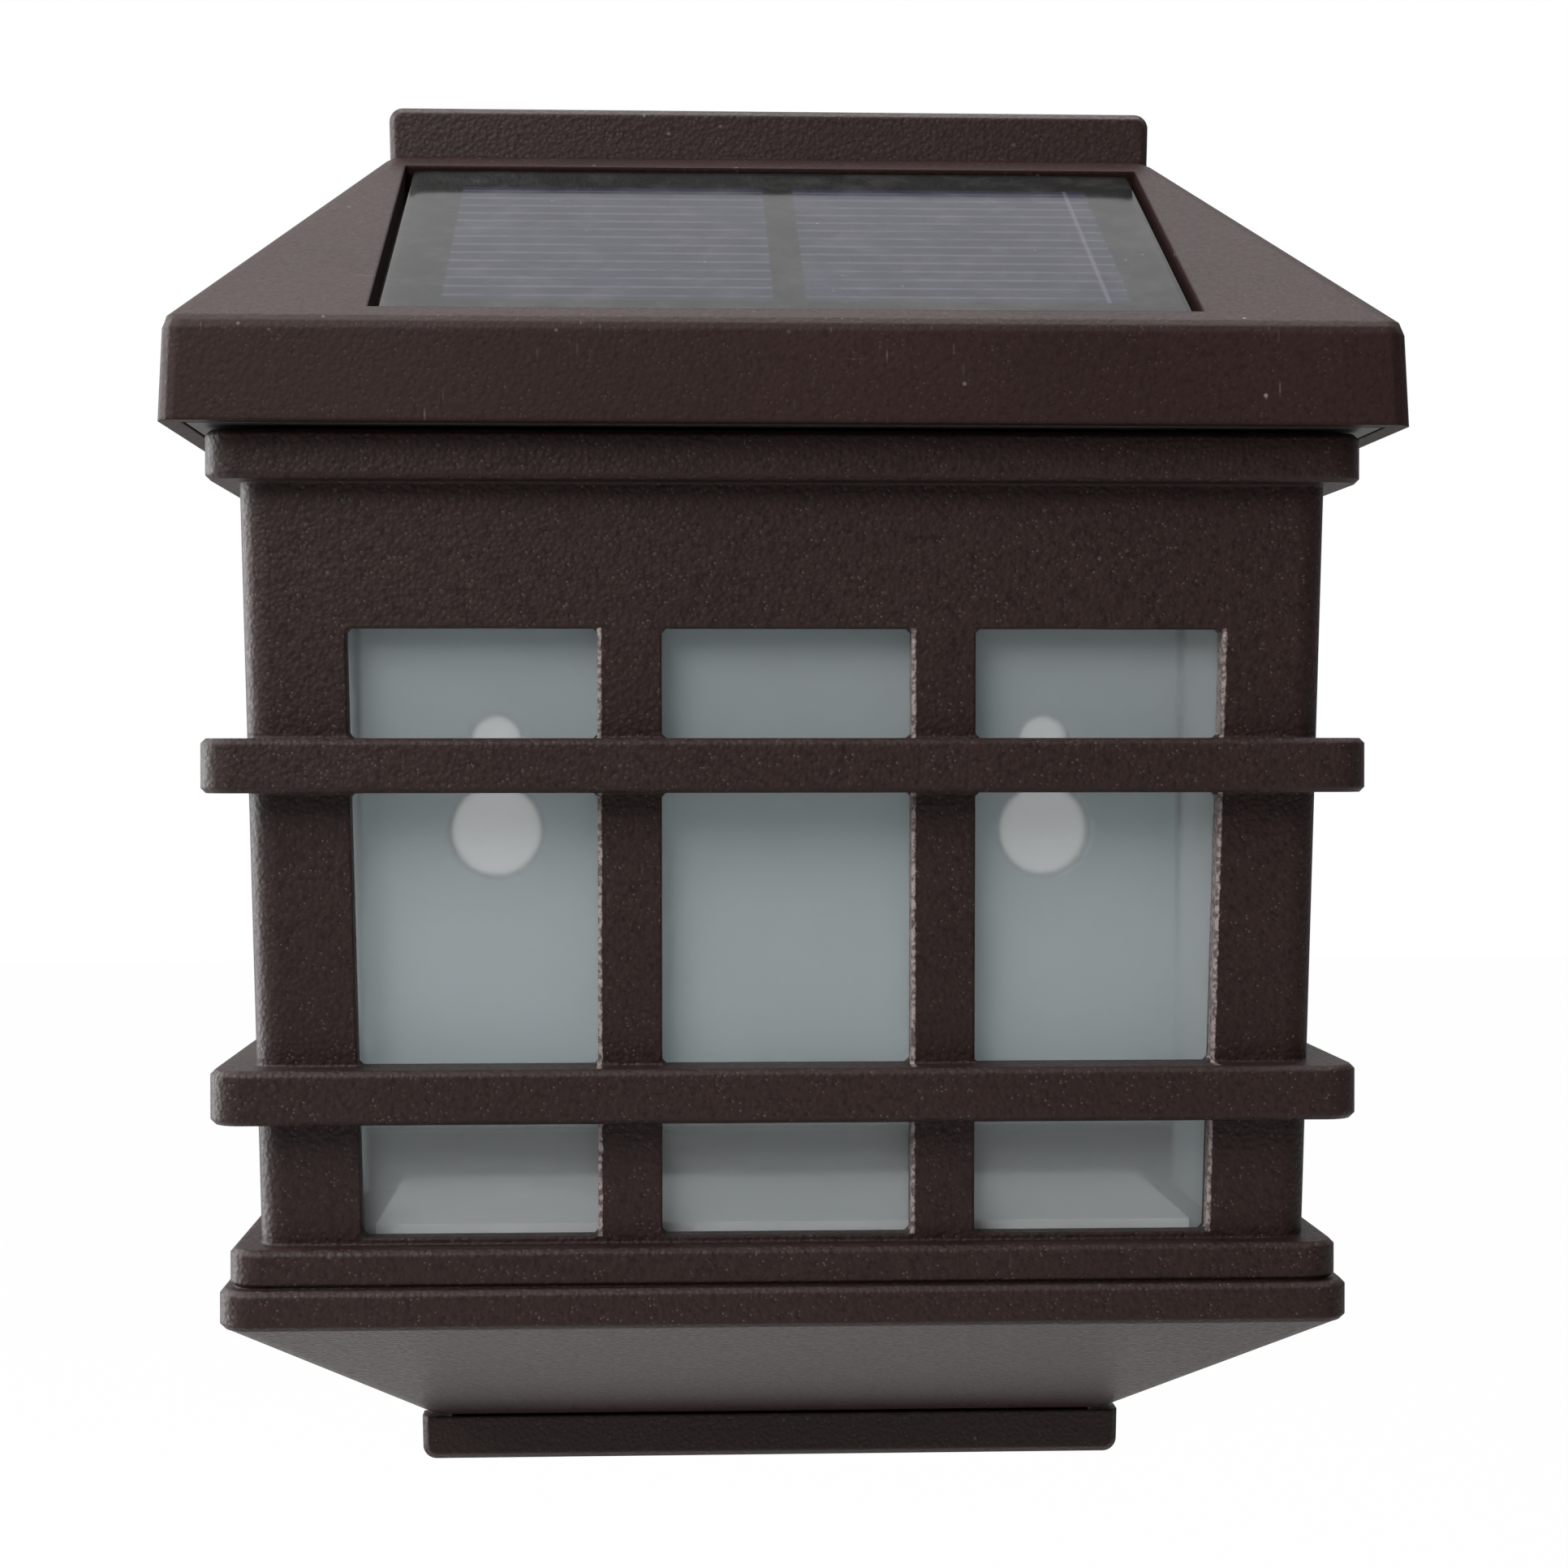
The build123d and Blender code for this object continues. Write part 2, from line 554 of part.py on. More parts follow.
def roof_cap():
    outer = cap_outer()
    room = cap_room(FASCIA_Z - CUT, LEDGE_Z, 0) + cap_room(LEDGE_Z, EAVE_Z - ROOF_THICK, CAP_LEDGE)
    room += roof_loft(ROOF_THICK) & cap_room(EAVE_Z - ROOF_THICK, RIDGE_Z, CAP_LEDGE)
    cap = outer - room
    tub = recess(RECESS_WALL, RECESS_LOW - RECESS_FLOOR, 0) & outer
    # keep the tub's end wall off the back wall's outside
    cap += tub & front_of(-CAP_BACK)
    for x, y in TRAY_SCREW_PLACES:
        cap += Pos(x, y, (TRAY_TOP + RIDGE_Z) / 2) * Cylinder(CAP_BOSS_R, RIDGE_Z - TRAY_TOP) & outer
    for x, y in TRAY_SCREW_PLACES:
        cap -= Pos(x, y, TRAY_TOP) * Cylinder(SCREW_R + SCREW_FIT, 2 * (SCREW_LENGTH - TRAY_THICK + GAP))
    cap -= recess(0, RECESS_LOW, CUT)
    lead_hole = Box(2 * LEAD_PITCH, 2 * LEAD_PITCH, RIDGE_Z - BOARD_TOP)
    cap -= Pos(LEAD_X, -LEAD_LINE, (RIDGE_Z + BOARD_TOP) / 2) * lead_hole
    neck = RIDGE_WIDTH / 2 + GAP
    notch = box(-neck, neck, -CAP_BACK, CUT, -FAR, FAR)
    return cap - notch


# ---------------------------------------------------------------- solar panel
def solar_sheet(low, high):
    half = SOLAR_WIDTH / 2
    return slope_box(-half, half, SOLAR_SETBACK, SOLAR_SETBACK + SOLAR_LENGTH, low, high)


def panel_glass():
    glass = solar_sheet(GLASS_LOW, -SOLAR_INSET)
    top = glass.faces().sort_by(Axis(ROOF_PLANE.origin, ROOF_PLANE.z_dir))[-1]
    return chamfer(top.edges(), GLASS_CHAMFER)


def cell_block(side):
    ends = sorted((side * CELL_SPLIT / 2, side * (SOLAR_WIDTH / 2 - CELL_SIDE_MARGIN)))
    start = SOLAR_SETBACK + CELL_END_MARGIN
    end = SOLAR_SETBACK + SOLAR_LENGTH - CELL_END_MARGIN
    return slope_box(*ends, start, end, CELL_LOW + RIBBON_THICK, GLASS_LOW)


def cell_ribbons():
    """Tinned strips under the cells that join them to the leads."""
    half = RIBBON_WIDTH / 2
    made = []
    for side in (-1, 1):
        x = side * (SOLAR_WIDTH / 2 - CELL_SIDE_MARGIN - 2 * RIBBON_WIDTH)
        start = SOLAR_SETBACK + CELL_END_MARGIN / 2
        end = SOLAR_SETBACK + SOLAR_LENGTH - CELL_END_MARGIN / 2
        made.append(
            slope_box(x - half, x + half, start, end, CELL_LOW, CELL_LOW + RIBBON_THICK)
        )
    return together(made)


def panel_adhesive():
    ring = solar_sheet(RECESS_LOW, BACKING_LOW)
    half = SOLAR_WIDTH / 2 - ADHESIVE_WIDTH
    start = SOLAR_SETBACK + ADHESIVE_WIDTH
    end = SOLAR_SETBACK + SOLAR_LENGTH - ADHESIVE_WIDTH
    return ring - slope_box(-half, half, start, end, RECESS_LOW - 1, BACKING_LOW + 1)


def panel_lead(side):
    """Lead from the panel's underside straight down through the recess floor to the board."""
    tall = extrude(Circle(LEAD_R), RIDGE_Z - BOARD_TOP)
    tall = Pos(LEAD_X + side * LEAD_PITCH / 2, -LEAD_LINE, BOARD_TOP) * tall
    return tall - slope_box(0, SOLAR_WIDTH, -SOLAR_LENGTH, 2 * SOLAR_LENGTH, BACKING_LOW, CUT)


# ---------------------------------------------------------------- head tray
def tray_outline(z0, z1):
    wall = CAP_WALL + GAP
    half = FASCIA_WIDTH / 2 - wall
    return box(-half, half, -(FASCIA_DEPTH - wall), -(CAP_BACK + CAP_WALL + GAP), z0, z1)


def well_form(radius, x0, x1, floor):
    """Cell's well: upright walls from floor to the axis, arched over the cell."""
    arch = Pos((x0 + x1) / 2, -BATTERY_DEPTH, BATTERY_Z) * Rot(0, 90, 0) * Cylinder(radius, x1 - x0)
    walls = box(x0, x1, -BATTERY_DEPTH - radius, -BATTERY_DEPTH + radius, floor, BATTERY_Z)
    return arch + walls


def hinge_rod(x, length, radius):
    return Pos(x, -HINGE_DEPTH, HINGE_Z) * Rot(0, 90, 0) * Cylinder(radius, length)


def head_tray():
    tray = tray_outline(TRAY_Z, TRAY_TOP)
    # skirt that finds its way into the housing's mouth, open at the back
    low = TRAY_Z - SKIRT_DEPTH
    inset = HOUSING_WALL + GAP + lean(low)
    half = BODY_WIDTH / 2 - inset
    depth = BODY_DEPTH - inset
    back = CAP_BACK + CAP_WALL + GAP
    skirt = box(-half, half, -depth, -back, low, TRAY_Z)
    skirt -= box(-half + SKIRT_WALL, half - SKIRT_WALL, -depth + SKIRT_WALL, CUT, low - 1, TRAY_Z)
    tray += skirt
    tray += well_form(WELL_R + WELL_WALL, WELL_X0 - WELL_WALL, WELL_X1 + WELL_WALL, TRAY_Z)
    for side in (-1, 1):
        post = Cylinder(BOARD_POST_R, BOARD_RISE)
        tray += Pos(side * BOARD_POST_X, -BOARD_LINE, TRAY_TOP + BOARD_RISE / 2) * post
    tray -= well_form(WELL_R, WELL_X0, WELL_X1, TRAY_Z - 1)
    # slots for the contact arms in the well's front wall
    for x in (WELL_X0, WELL_X1 - CONTACT_THICK):
        tray -= box(
            x - GAP / 2, x + CONTACT_THICK + GAP / 2, -WELL_FRONT - 2 * WELL_WALL, -BATTERY_DEPTH,
            BOARD_TOP - GAP, BOARD_TOP + CONTACT_ARM + GAP,
        )
    # hinge slots with their pins
    for side in (-1, 1):
        room = KNUCKLE_LENGTH / 2 + GAP
        x = side * KNUCKLE_X
        slot_front = -(HINGE_DEPTH + HINGE_R + GAP)
        tray -= box(x - room, x + room, slot_front, -WELL_FRONT + WELL_WALL, TRAY_Z - CUT, TRAY_TOP + GAP)
        tray += hinge_rod(x, 2 * room + 0.4, HINGE_PIN_R)
    for x, y in TRAY_SCREW_PLACES:
        tray -= Pos(x, y, TRAY_Z) * Cylinder(SCREW_R + GAP, 4 * TRAY_THICK)
    for side in (-1, 1):
        tray -= Pos(side * LED_X, -BOARD_LINE, TRAY_Z) * Cylinder(LED_R + GAP, 4 * TRAY_THICK)
        hole = Cylinder(BOARD_SCREW_R + SCREW_FIT, 2 * BOARD_SCREW_LENGTH)
        tray -= Pos(side * BOARD_POST_X, -BOARD_LINE, BOARD_Z) * hole
    slot_half = (KNOB_LENGTH + KNOB_TRAVEL) / 2 + GAP
    knob_half = KNOB_WIDTH / 2 + GAP
    slot = Box(2 * slot_half, 2 * knob_half, CUT)
    tray -= Pos(0, -BOARD_LINE, TRAY_TOP - CUT / 2 + GAP) * slot
    return tray


def tray_gasket():
    wall = CAP_WALL + CAP_LEDGE
    half = FASCIA_WIDTH / 2 - wall
    rear = CAP_BACK + CAP_WALL + CAP_LEDGE
    hole = box(-half, half, -(FASCIA_DEPTH - wall), -rear, TRAY_TOP - CUT, LEDGE_Z + CUT)
    return tray_outline(TRAY_TOP, LEDGE_Z) - hole


def tray_screws():
    one = screw(SCREW_R, SCREW_HEAD_R, SCREW_HEAD, SCREW_LENGTH)
    return together([Pos(x, y, TRAY_Z) * one for x, y in TRAY_SCREW_PLACES])


def battery_cell():
    length = BATTERY_LENGTH - NUB_LENGTH
    can = Cylinder(BATTERY_R, length)
    can = chamfer(can.edges().filter_by(GeomType.CIRCLE), GAP)
    nub = Pos(0, 0, (length + NUB_LENGTH) / 2) * Cylinder(NUB_R, NUB_LENGTH)
    return Pos(-NUB_LENGTH / 2, -BATTERY_DEPTH, BATTERY_Z) * Rot(0, 90, 0) * (can + nub)


def contact_arm(x):
    end = BOARD_LINE - BOARD_DEPTH / 4
    return box(x, x + CONTACT_THICK, -end, -BATTERY_DEPTH, BOARD_TOP, BOARD_TOP + CONTACT_ARM)


def contact_blade(x):
    half = CONTACT_HEIGHT / 2
    low = BATTERY_Z - half
    return box(x, x + CONTACT_THICK, -BATTERY_DEPTH - half, -BATTERY_DEPTH + half, low, BATTERY_Z + half)


def contact_plate():
    x = WELL_X1 - CONTACT_THICK
    return contact_blade(x) + contact_arm(x)


def contact_spring():
    """Blade on the well's end wall with a bowed leaf that presses on the cell."""
    x0 = WELL_X0
    reach = WELL_SPRING_ROOM
    half = CONTACT_HEIGHT / 2
    t = CONTACT_THICK
    outer = ThreePointArc((x0, -half), (x0 + reach, 0), (x0, half))
    inner = ThreePointArc((x0, -half + t), (x0 + reach - t, 0), (x0, half - t))
    lines = [Line(outer @ 0, inner @ 0), inner, Line(inner @ 1, outer @ 1), outer]
    leaf = extrude(make_face(lines), CONTACT_ARM, both=True)
    leaf = Pos(0, -BATTERY_DEPTH, BATTERY_Z) * leaf
    return contact_blade(x0) + leaf + contact_arm(x0)


def battery_door():
    x0, x1 = WELL_X0 + GAP, WELL_X1 - GAP
    front = -(WELL_FRONT - GAP)
    rear = -(WELL_REAR + GAP)
    door = box(x0, x1, front, rear, TRAY_Z, TRAY_Z + DOOR_THICK)
    for side in (-1, 1):
        x = side * KNUCKLE_X
        half = KNUCKLE_LENGTH / 2
        flap = DOOR_THICK / 4
        door += hinge_rod(x, KNUCKLE_LENGTH, HINGE_R)
        door += box(x - half, x + half, -HINGE_DEPTH, front + DOOR_THICK, HINGE_Z - flap, HINGE_Z + flap)
    inner = rear - 2 * LATCH_THICK
    top = TRAY_Z + DOOR_THICK + LATCH_RISE
    door += box(-LATCH_WIDTH / 2, LATCH_WIDTH / 2, inner, inner + LATCH_THICK, TRAY_Z, top)
    for side in (-1, 1):
        door -= hinge_rod(side * KNUCKLE_X, KNUCKLE_LENGTH + 2, HINGE_PIN_R + HINGE_FIT)
    return door


# ---------------------------------------------------------------- board, lamps, switch
def circuit_board():
    half = BOARD_DEPTH / 2
    wide = BOARD_WIDTH / 2
    board = box(-wide, wide, -BOARD_LINE - half, -BOARD_LINE + half, BOARD_Z, BOARD_TOP)
    hole = Cylinder(BOARD_SCREW_R + GAP, 4 * BOARD_THICK)
    for side in (-1, 1):
        board -= Pos(side * BOARD_POST_X, -BOARD_LINE, BOARD_Z) * hole
    return board


def board_screws():
    one = Rot(180, 0, 0) * screw(BOARD_SCREW_R, BOARD_SCREW_HEAD_R, BOARD_SCREW_HEAD, BOARD_SCREW_LENGTH)
    return together([Pos(side * BOARD_POST_X, -BOARD_LINE, BOARD_TOP) * one for side in (-1, 1)])


def led(side):
    """Round lamp hung from the board by its two leads, dome down."""
    flange = BOARD_Z - LED_DROP
    x = side * LED_X
    body = Pos(x, -BOARD_LINE, flange - LED_FLANGE / 2) * Cylinder(LED_FLANGE_R, LED_FLANGE)
    straight = LED_LENGTH - LED_R
    body += Pos(x, -BOARD_LINE, flange - straight / 2) * Cylinder(LED_R, straight)
    rings = []
    for angle in DOME_ANGLES:
        level = flange - straight - LED_R * sin(radians(angle))
        rings.append(Pos(x, -BOARD_LINE, level) * Circle(LED_R * cos(radians(angle))))
    body += loft(rings, ruled=True)
    wire = Box(LED_LEAD, LED_LEAD, LED_DROP + LED_LEAD)
    for lead in (-1, 1):
        place = Pos(x + lead * LED_LEAD_PITCH / 2, -BOARD_LINE, BOARD_Z - (LED_DROP + LED_LEAD) / 2)
        body += place * wire
    return body


def switch_body():
    half_x, half_y = SWITCH_LENGTH / 2, SWITCH_WIDTH / 2
    wall = SWITCH_WALL
    case = box(-half_x, half_x, -half_y, half_y, TRAY_TOP, BOARD_Z)
    room = Box(SWITCH_LENGTH - 2 * wall, SWITCH_WIDTH - 2 * wall, BOARD_RISE - 2 * wall)
    case -= Pos(0, 0, TRAY_TOP + BOARD_RISE / 2) * room
    slot = (KNOB_LENGTH + KNOB_TRAVEL) / 2 + GAP
    neck = (KNOB_WIDTH + GAP) / 2
    case -= box(-slot, slot, -neck, neck, TRAY_TOP - CUT, TRAY_TOP + 2 * wall)
    return Pos(0, -BOARD_LINE, 0) * case


def switch_knob():
    """Knob at its off end; it slides along +X to switch on."""
    x = -KNOB_TRAVEL / 2
    low = TRAY_TOP + SWITCH_WALL + GAP / 2
    foot_half = KNOB_LENGTH / 2 + KNOB_FOOT_LIP
    room = SWITCH_WIDTH / 2 - SWITCH_WALL - GAP / 2
    knob = box(x - foot_half, x + foot_half, -room, room, low, low + KNOB_FOOT)
    half, wide = KNOB_LENGTH / 2, KNOB_WIDTH / 2
    knob += box(x - half, x + half, -wide, wide, TRAY_TOP - KNOB_DROP, low + KNOB_FOOT / 2)
    return Pos(0, -BOARD_LINE, 0) * knob


def driver_chip():
    half = CHIP_SIZE / 2
    chip = box(-half, half, -half, half, 0, CHIP_HEIGHT)
    return Pos(CHIP_X, -BOARD_LINE, BOARD_TOP) * chip


def inductor():
    coil = Pos(COIL_X, -BOARD_LINE, BOARD_Z - COIL_HEIGHT / 2) * Cylinder(COIL_R, COIL_HEIGHT)
    waist = Cylinder(COIL_R + 1, COIL_HEIGHT / 2) - Cylinder(0.75 * COIL_R, COIL_HEIGHT / 2)
    return coil - Pos(COIL_X, -BOARD_LINE, BOARD_Z - COIL_HEIGHT / 2) * waist


PARTS = {
    "housing": housing,
    "wall_plate": wall_plate,
    "plate_screws": plate_screws,
    "diffuser": diffuser,
    "floor_reflector": floor_reflector,
    "back_reflector": back_reflector,
    "roof_cap": roof_cap,
    "panel_glass": panel_glass,
    "solar_cells": lambda: together([cell_block(-1), cell_block(1)]),
    "cell_ribbons": cell_ribbons,
    "panel_backing": lambda: solar_sheet(BACKING_LOW, CELL_LOW),
    "panel_adhesive": panel_adhesive,
    "panel_lead_red": lambda: panel_lead(-1),
    "panel_lead_black": lambda: panel_lead(1),
    "head_tray": head_tray,
    "tray_gasket": tray_gasket,
    "tray_screws": tray_screws,
    "battery_cell": battery_cell,
    "contact_plate": contact_plate,
    "contact_spring": contact_spring,
    "battery_door": battery_door,
    "circuit_board": circuit_board,
    "board_screws": board_screws,
    "led_left": lambda: led(-1),
    "led_right": lambda: led(1),
    "switch_body": switch_body,
    "switch_knob": switch_knob,
    "driver_chip": driver_chip,
    "inductor": inductor,
}

for name, make in PARTS.items():
    export_step(make(), f"parts/{name}.step")
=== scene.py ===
"""Looks, stage and camera of the solar fence light.

Shared frame, in metres: the wall is the plane y = 0, the light faces -Y, +Z is up and the origin
is the middle of the wall plate's back. Every CAD node keeps its mesh and gets a procedural
material. One piece is new: the solar panel's cover, for the flat sheet and the cells under it.
"""

import math

import bmesh
import bpy
from mathutils import Matrix, Vector

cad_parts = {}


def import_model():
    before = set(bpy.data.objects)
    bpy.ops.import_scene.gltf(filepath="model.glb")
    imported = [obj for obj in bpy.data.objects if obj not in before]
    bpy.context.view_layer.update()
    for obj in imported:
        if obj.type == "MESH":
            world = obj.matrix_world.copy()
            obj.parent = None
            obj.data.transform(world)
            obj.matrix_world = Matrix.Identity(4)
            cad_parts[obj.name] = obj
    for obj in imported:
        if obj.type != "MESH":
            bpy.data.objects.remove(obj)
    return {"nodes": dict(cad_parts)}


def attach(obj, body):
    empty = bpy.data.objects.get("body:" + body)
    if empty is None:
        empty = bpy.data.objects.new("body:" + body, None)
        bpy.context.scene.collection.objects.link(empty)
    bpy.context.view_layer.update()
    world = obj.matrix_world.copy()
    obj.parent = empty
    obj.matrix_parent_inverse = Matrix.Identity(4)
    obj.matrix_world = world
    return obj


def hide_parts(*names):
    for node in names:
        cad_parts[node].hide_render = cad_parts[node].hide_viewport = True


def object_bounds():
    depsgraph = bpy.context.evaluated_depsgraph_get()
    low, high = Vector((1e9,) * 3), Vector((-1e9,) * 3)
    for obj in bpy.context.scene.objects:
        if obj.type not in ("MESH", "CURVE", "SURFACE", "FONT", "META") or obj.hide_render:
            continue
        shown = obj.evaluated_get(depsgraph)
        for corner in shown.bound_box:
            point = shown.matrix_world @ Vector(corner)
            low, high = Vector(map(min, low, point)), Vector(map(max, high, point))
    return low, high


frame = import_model()
cad_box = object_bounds()
nodes = frame["nodes"]

MM = 0.001
WHITE = (1, 1, 1, 1)
NOISE_SPAN = (0.3, 0.7)  # most of a noise's values lie between these


# ------------------------------------------------------------------ node helpers
def shade(colour, share):
    """Colour times share, as RGBA, never above 1."""
    return tuple(min(c * share, 1) for c in colour[:3]) + (1,)


class Nodes:
    """The node tree of a material or a world, with short calls for the nodes used here."""

    def __init__(self, owner, output):
        self.owner = owner
        owner.use_nodes = True
        self.tree = owner.node_tree
        self.tree.nodes.clear()
        self.out = self.node(output)

    def node(self, kind, **values):
        n = self.tree.nodes.new(kind)
        for key, value in values.items():
            setattr(n, key, value)
        return n

    def put(self, socket, value):
        """Links the socket to another node's output, or sets it to a plain value."""
        if isinstance(value, bpy.types.NodeSocket):
            self.tree.links.new(value, socket)
        else:
            socket.default_value = value

    def math(self, op, a, b=0.0):
        n = self.node("ShaderNodeMath", operation=op)
        self.put(n.inputs[0], a)
        self.put(n.inputs[1], b)
        return n.outputs[0]

    def product(self, first, *others):
        for other in others:
            first = self.math("MULTIPLY", first, other)
        return first

    def axes(self, vector):
        """The X, Y and Z of a vector."""
        n = self.node("ShaderNodeSeparateXYZ")
        self.put(n.inputs[0], vector)
        return [n.outputs[axis] for axis in "XYZ"]

    def shader(self, kind, colour):
        n = self.node(kind)
        self.put(n.inputs["Color"], colour)
        return n.outputs[0]

    def blend(self, share, first, second):
        """Mix of two shaders, with this share of the second."""
        n = self.node("ShaderNodeMixShader")
        for socket, value in zip(n.inputs, (share, first, second)):
            self.put(socket, value)
        return n.outputs[0]

    def camera_ray(self):
        return self.node("ShaderNodeLightPath").outputs["Is Camera Ray"]

    def made_of(self, shader):
        """Makes the shader the surface, and returns the material or world."""
        self.put(self.out.inputs[0], shader)
        return self.owner


class Mat(Nodes):
    """A material, textured in the object's own coordinates. Texture scales are per metre."""

    def __init__(self, name):
        super().__init__(bpy.data.materials.new(name), "ShaderNodeOutputMaterial")
        self.coord = self.node("ShaderNodeTexCoord").outputs["Object"]

    def principled(self, **values):
        n = self.node("ShaderNodeBsdfPrincipled")
        for key, value in values.items():
            self.put(n.inputs[key.replace("_", " ")], value)
        return n.outputs[0]

    def noise(self, scale, detail=2.0, rough=0.5, vector=None):
        n = self.node("ShaderNodeTexNoise")
        self.put(n.inputs["Vector"], vector or self.coord)
        n.inputs["Scale"].default_value = scale
        n.inputs["Detail"].default_value = detail
        n.inputs["Roughness"].default_value = rough
        return n.outputs["Fac"]

    def voronoi(self, scale, vector=None):
        n = self.node("ShaderNodeTexVoronoi")
        self.put(n.inputs["Vector"], vector or self.coord)
        n.inputs["Scale"].default_value = scale
        return n.outputs["Distance"]

    def remap(self, value, lo, hi, to_lo=0.0, to_hi=1.0):
        n = self.node("ShaderNodeMapRange")
        self.put(n.inputs["Value"], value)
        for key, v in (("From Min", lo), ("From Max", hi), ("To Min", to_lo), ("To Max", to_hi)):
            n.inputs[key].default_value = v
        return n.outputs[0]

    def within(self, value, lo, hi, soft):
        """1 where the value lies from lo to hi, falling to 0 over a soft width at both ends."""
        above = self.remap(value, lo - soft, lo + soft)
        below = self.remap(value, hi + soft, hi - soft)
        return self.math("MULTIPLY", above, below)

    def specks(self, scale, size, patches, place):
        """Dots of a size span, only in the patches of a coarser noise."""
        dots = self.remap(self.voronoi(scale), *size)
        where = self.remap(self.noise(patches, 2.0), *place)
        return self.math("MULTIPLY", dots, where)

    def mix(self, factor, a, b):
        n = self.node("ShaderNodeMix", data_type="RGBA")
        self.put(n.inputs["Factor"], factor)
        self.put(n.inputs[6], a)
        self.put(n.inputs[7], b)
        return n.outputs[2]

    def mottled(self, fac, first, second, span=NOISE_SPAN):
        """From the first colour to the second as a noise crosses the span."""
        return self.mix(self.remap(fac, *span), first, second)

    def varied(self, fac, first, second):
        """From the first value to the second as a noise crosses its usual span."""
        return self.remap(fac, *NOISE_SPAN, first, second)

    def scaled(self, sx, sy, sz):
        n = self.node("ShaderNodeMapping")
        self.put(n.inputs["Vector"], self.coord)
        n.inputs["Scale"].default_value = (sx, sy, sz)
        return n.outputs[0]

    def bump(self, height, strength, distance, normal=None):
        n = self.node("ShaderNodeBump")
        self.put(n.inputs["Height"], height)
        n.inputs["Strength"].default_value = strength
        n.inputs["Distance"].default_value = distance
        if normal is not None:
            self.put(n.inputs["Normal"], normal)
        return n.outputs[0]

    def soft_edge(self, radius):
        n = self.node("ShaderNodeBevel", samples=6)
        n.inputs["Radius"].default_value = radius
        return n.outputs[0]


# ------------------------------------------------------------------ brown plastic
# where the painted highlight on the windows' right-hand arrises lies, and its colour
RIGHT_EDGES = (-16.975 * MM, 11.225 * MM, 39.07 * MM)  # of the three window columns
WINDOW_RISE = (-40.1 * MM, 14.6 * MM)  # lowest sill to highest head
BODY_LEAN = 0.0227  # the outermost edge follows the body's draft
FRONT_SKIN = (-41.3 * MM, -37.0 * MM)  # the front wall's own face, not the bands before it
ARRIS_REACH = (0.30 * MM, 0.13 * MM)  # left and right of the edge
ARRIS_WANDER = -0.44 * MM
ARRIS_SOFT = 0.05 * MM
ARRIS_HIGHLIGHT_TINT = (0.40, 0.33, 0.32, 1)

BROWN_DARK = (0.0192, 0.0082, 0.0069, 1)
BROWN_LIGHT = (0.0235, 0.0105, 0.0089, 1)
# painted shade in the grain's hollows
HOLLOW_SHADE_TINT = (0.0105, 0.0048, 0.0040, 1)
# painted glint on the grain's tips
GLINT_TINT = (0.150, 0.115, 0.105, 1)
DUST_TINT = (0.30, 0.27, 0.25, 1)
SCRATCH_TINT = (0.20, 0.165, 0.150, 1)
# the first two shares are of painted shade and painted glint
HOLLOW_SHADE_SHARE, GLINT_SHARE, DUST_SHARE, SCRATCH_SHARE = 0.8, 0.50, 0.5, 0.26
BROWN_EDGE = 0.45 * MM
CLOUD_SCALE = 38
GRAIN_SCALE, GRAIN_DEPTH = 1700, 0.10 * MM
PIT_SCALE, PIT_DEPTH = 2100, 0.12 * MM
# scale across and upwards, stroke size, and the noise level from which there are strokes
STROKES = (
    (1300, 190, 0.17, 0.56),  # short and upright
    (90, 1700, 0.14, 0.62),  # long and level
)


def painted_arris_highlight(m, tint):
    """Painted highlight: a thin ragged light line on each window's right-hand arris, which faces
    the lit side.
    """
    x, y, z = m.axes(m.coord)
    ragged = m.math("MULTIPLY", m.noise(1300, 3.0, 0.7), ARRIS_WANDER)
    leaned = m.math("SUBTRACT", x, m.math("MULTIPLY", z, BODY_LEAN))
    left, right = ARRIS_REACH
    lines = [
        m.within(m.math("ADD", place, ragged), edge - left, edge + right, ARRIS_SOFT)
        for place, edge in zip((x, x, leaned), RIGHT_EDGES)
    ]
    line = m.math("MAXIMUM", m.math("MAXIMUM", lines[0], lines[1]), lines[2])
    rise = m.within(z, *WINDOW_RISE, ARRIS_SOFT)
    skin = m.within(y, *FRONT_SKIN, ARRIS_SOFT)
    broken = m.remap(m.noise(1900, 2.0, 0.6), 0.42, 0.58, 0.2, 0.75)
    return m.mix(m.product(line, rise, skin, broken), tint, ARRIS_HIGHLIGHT_TINT)


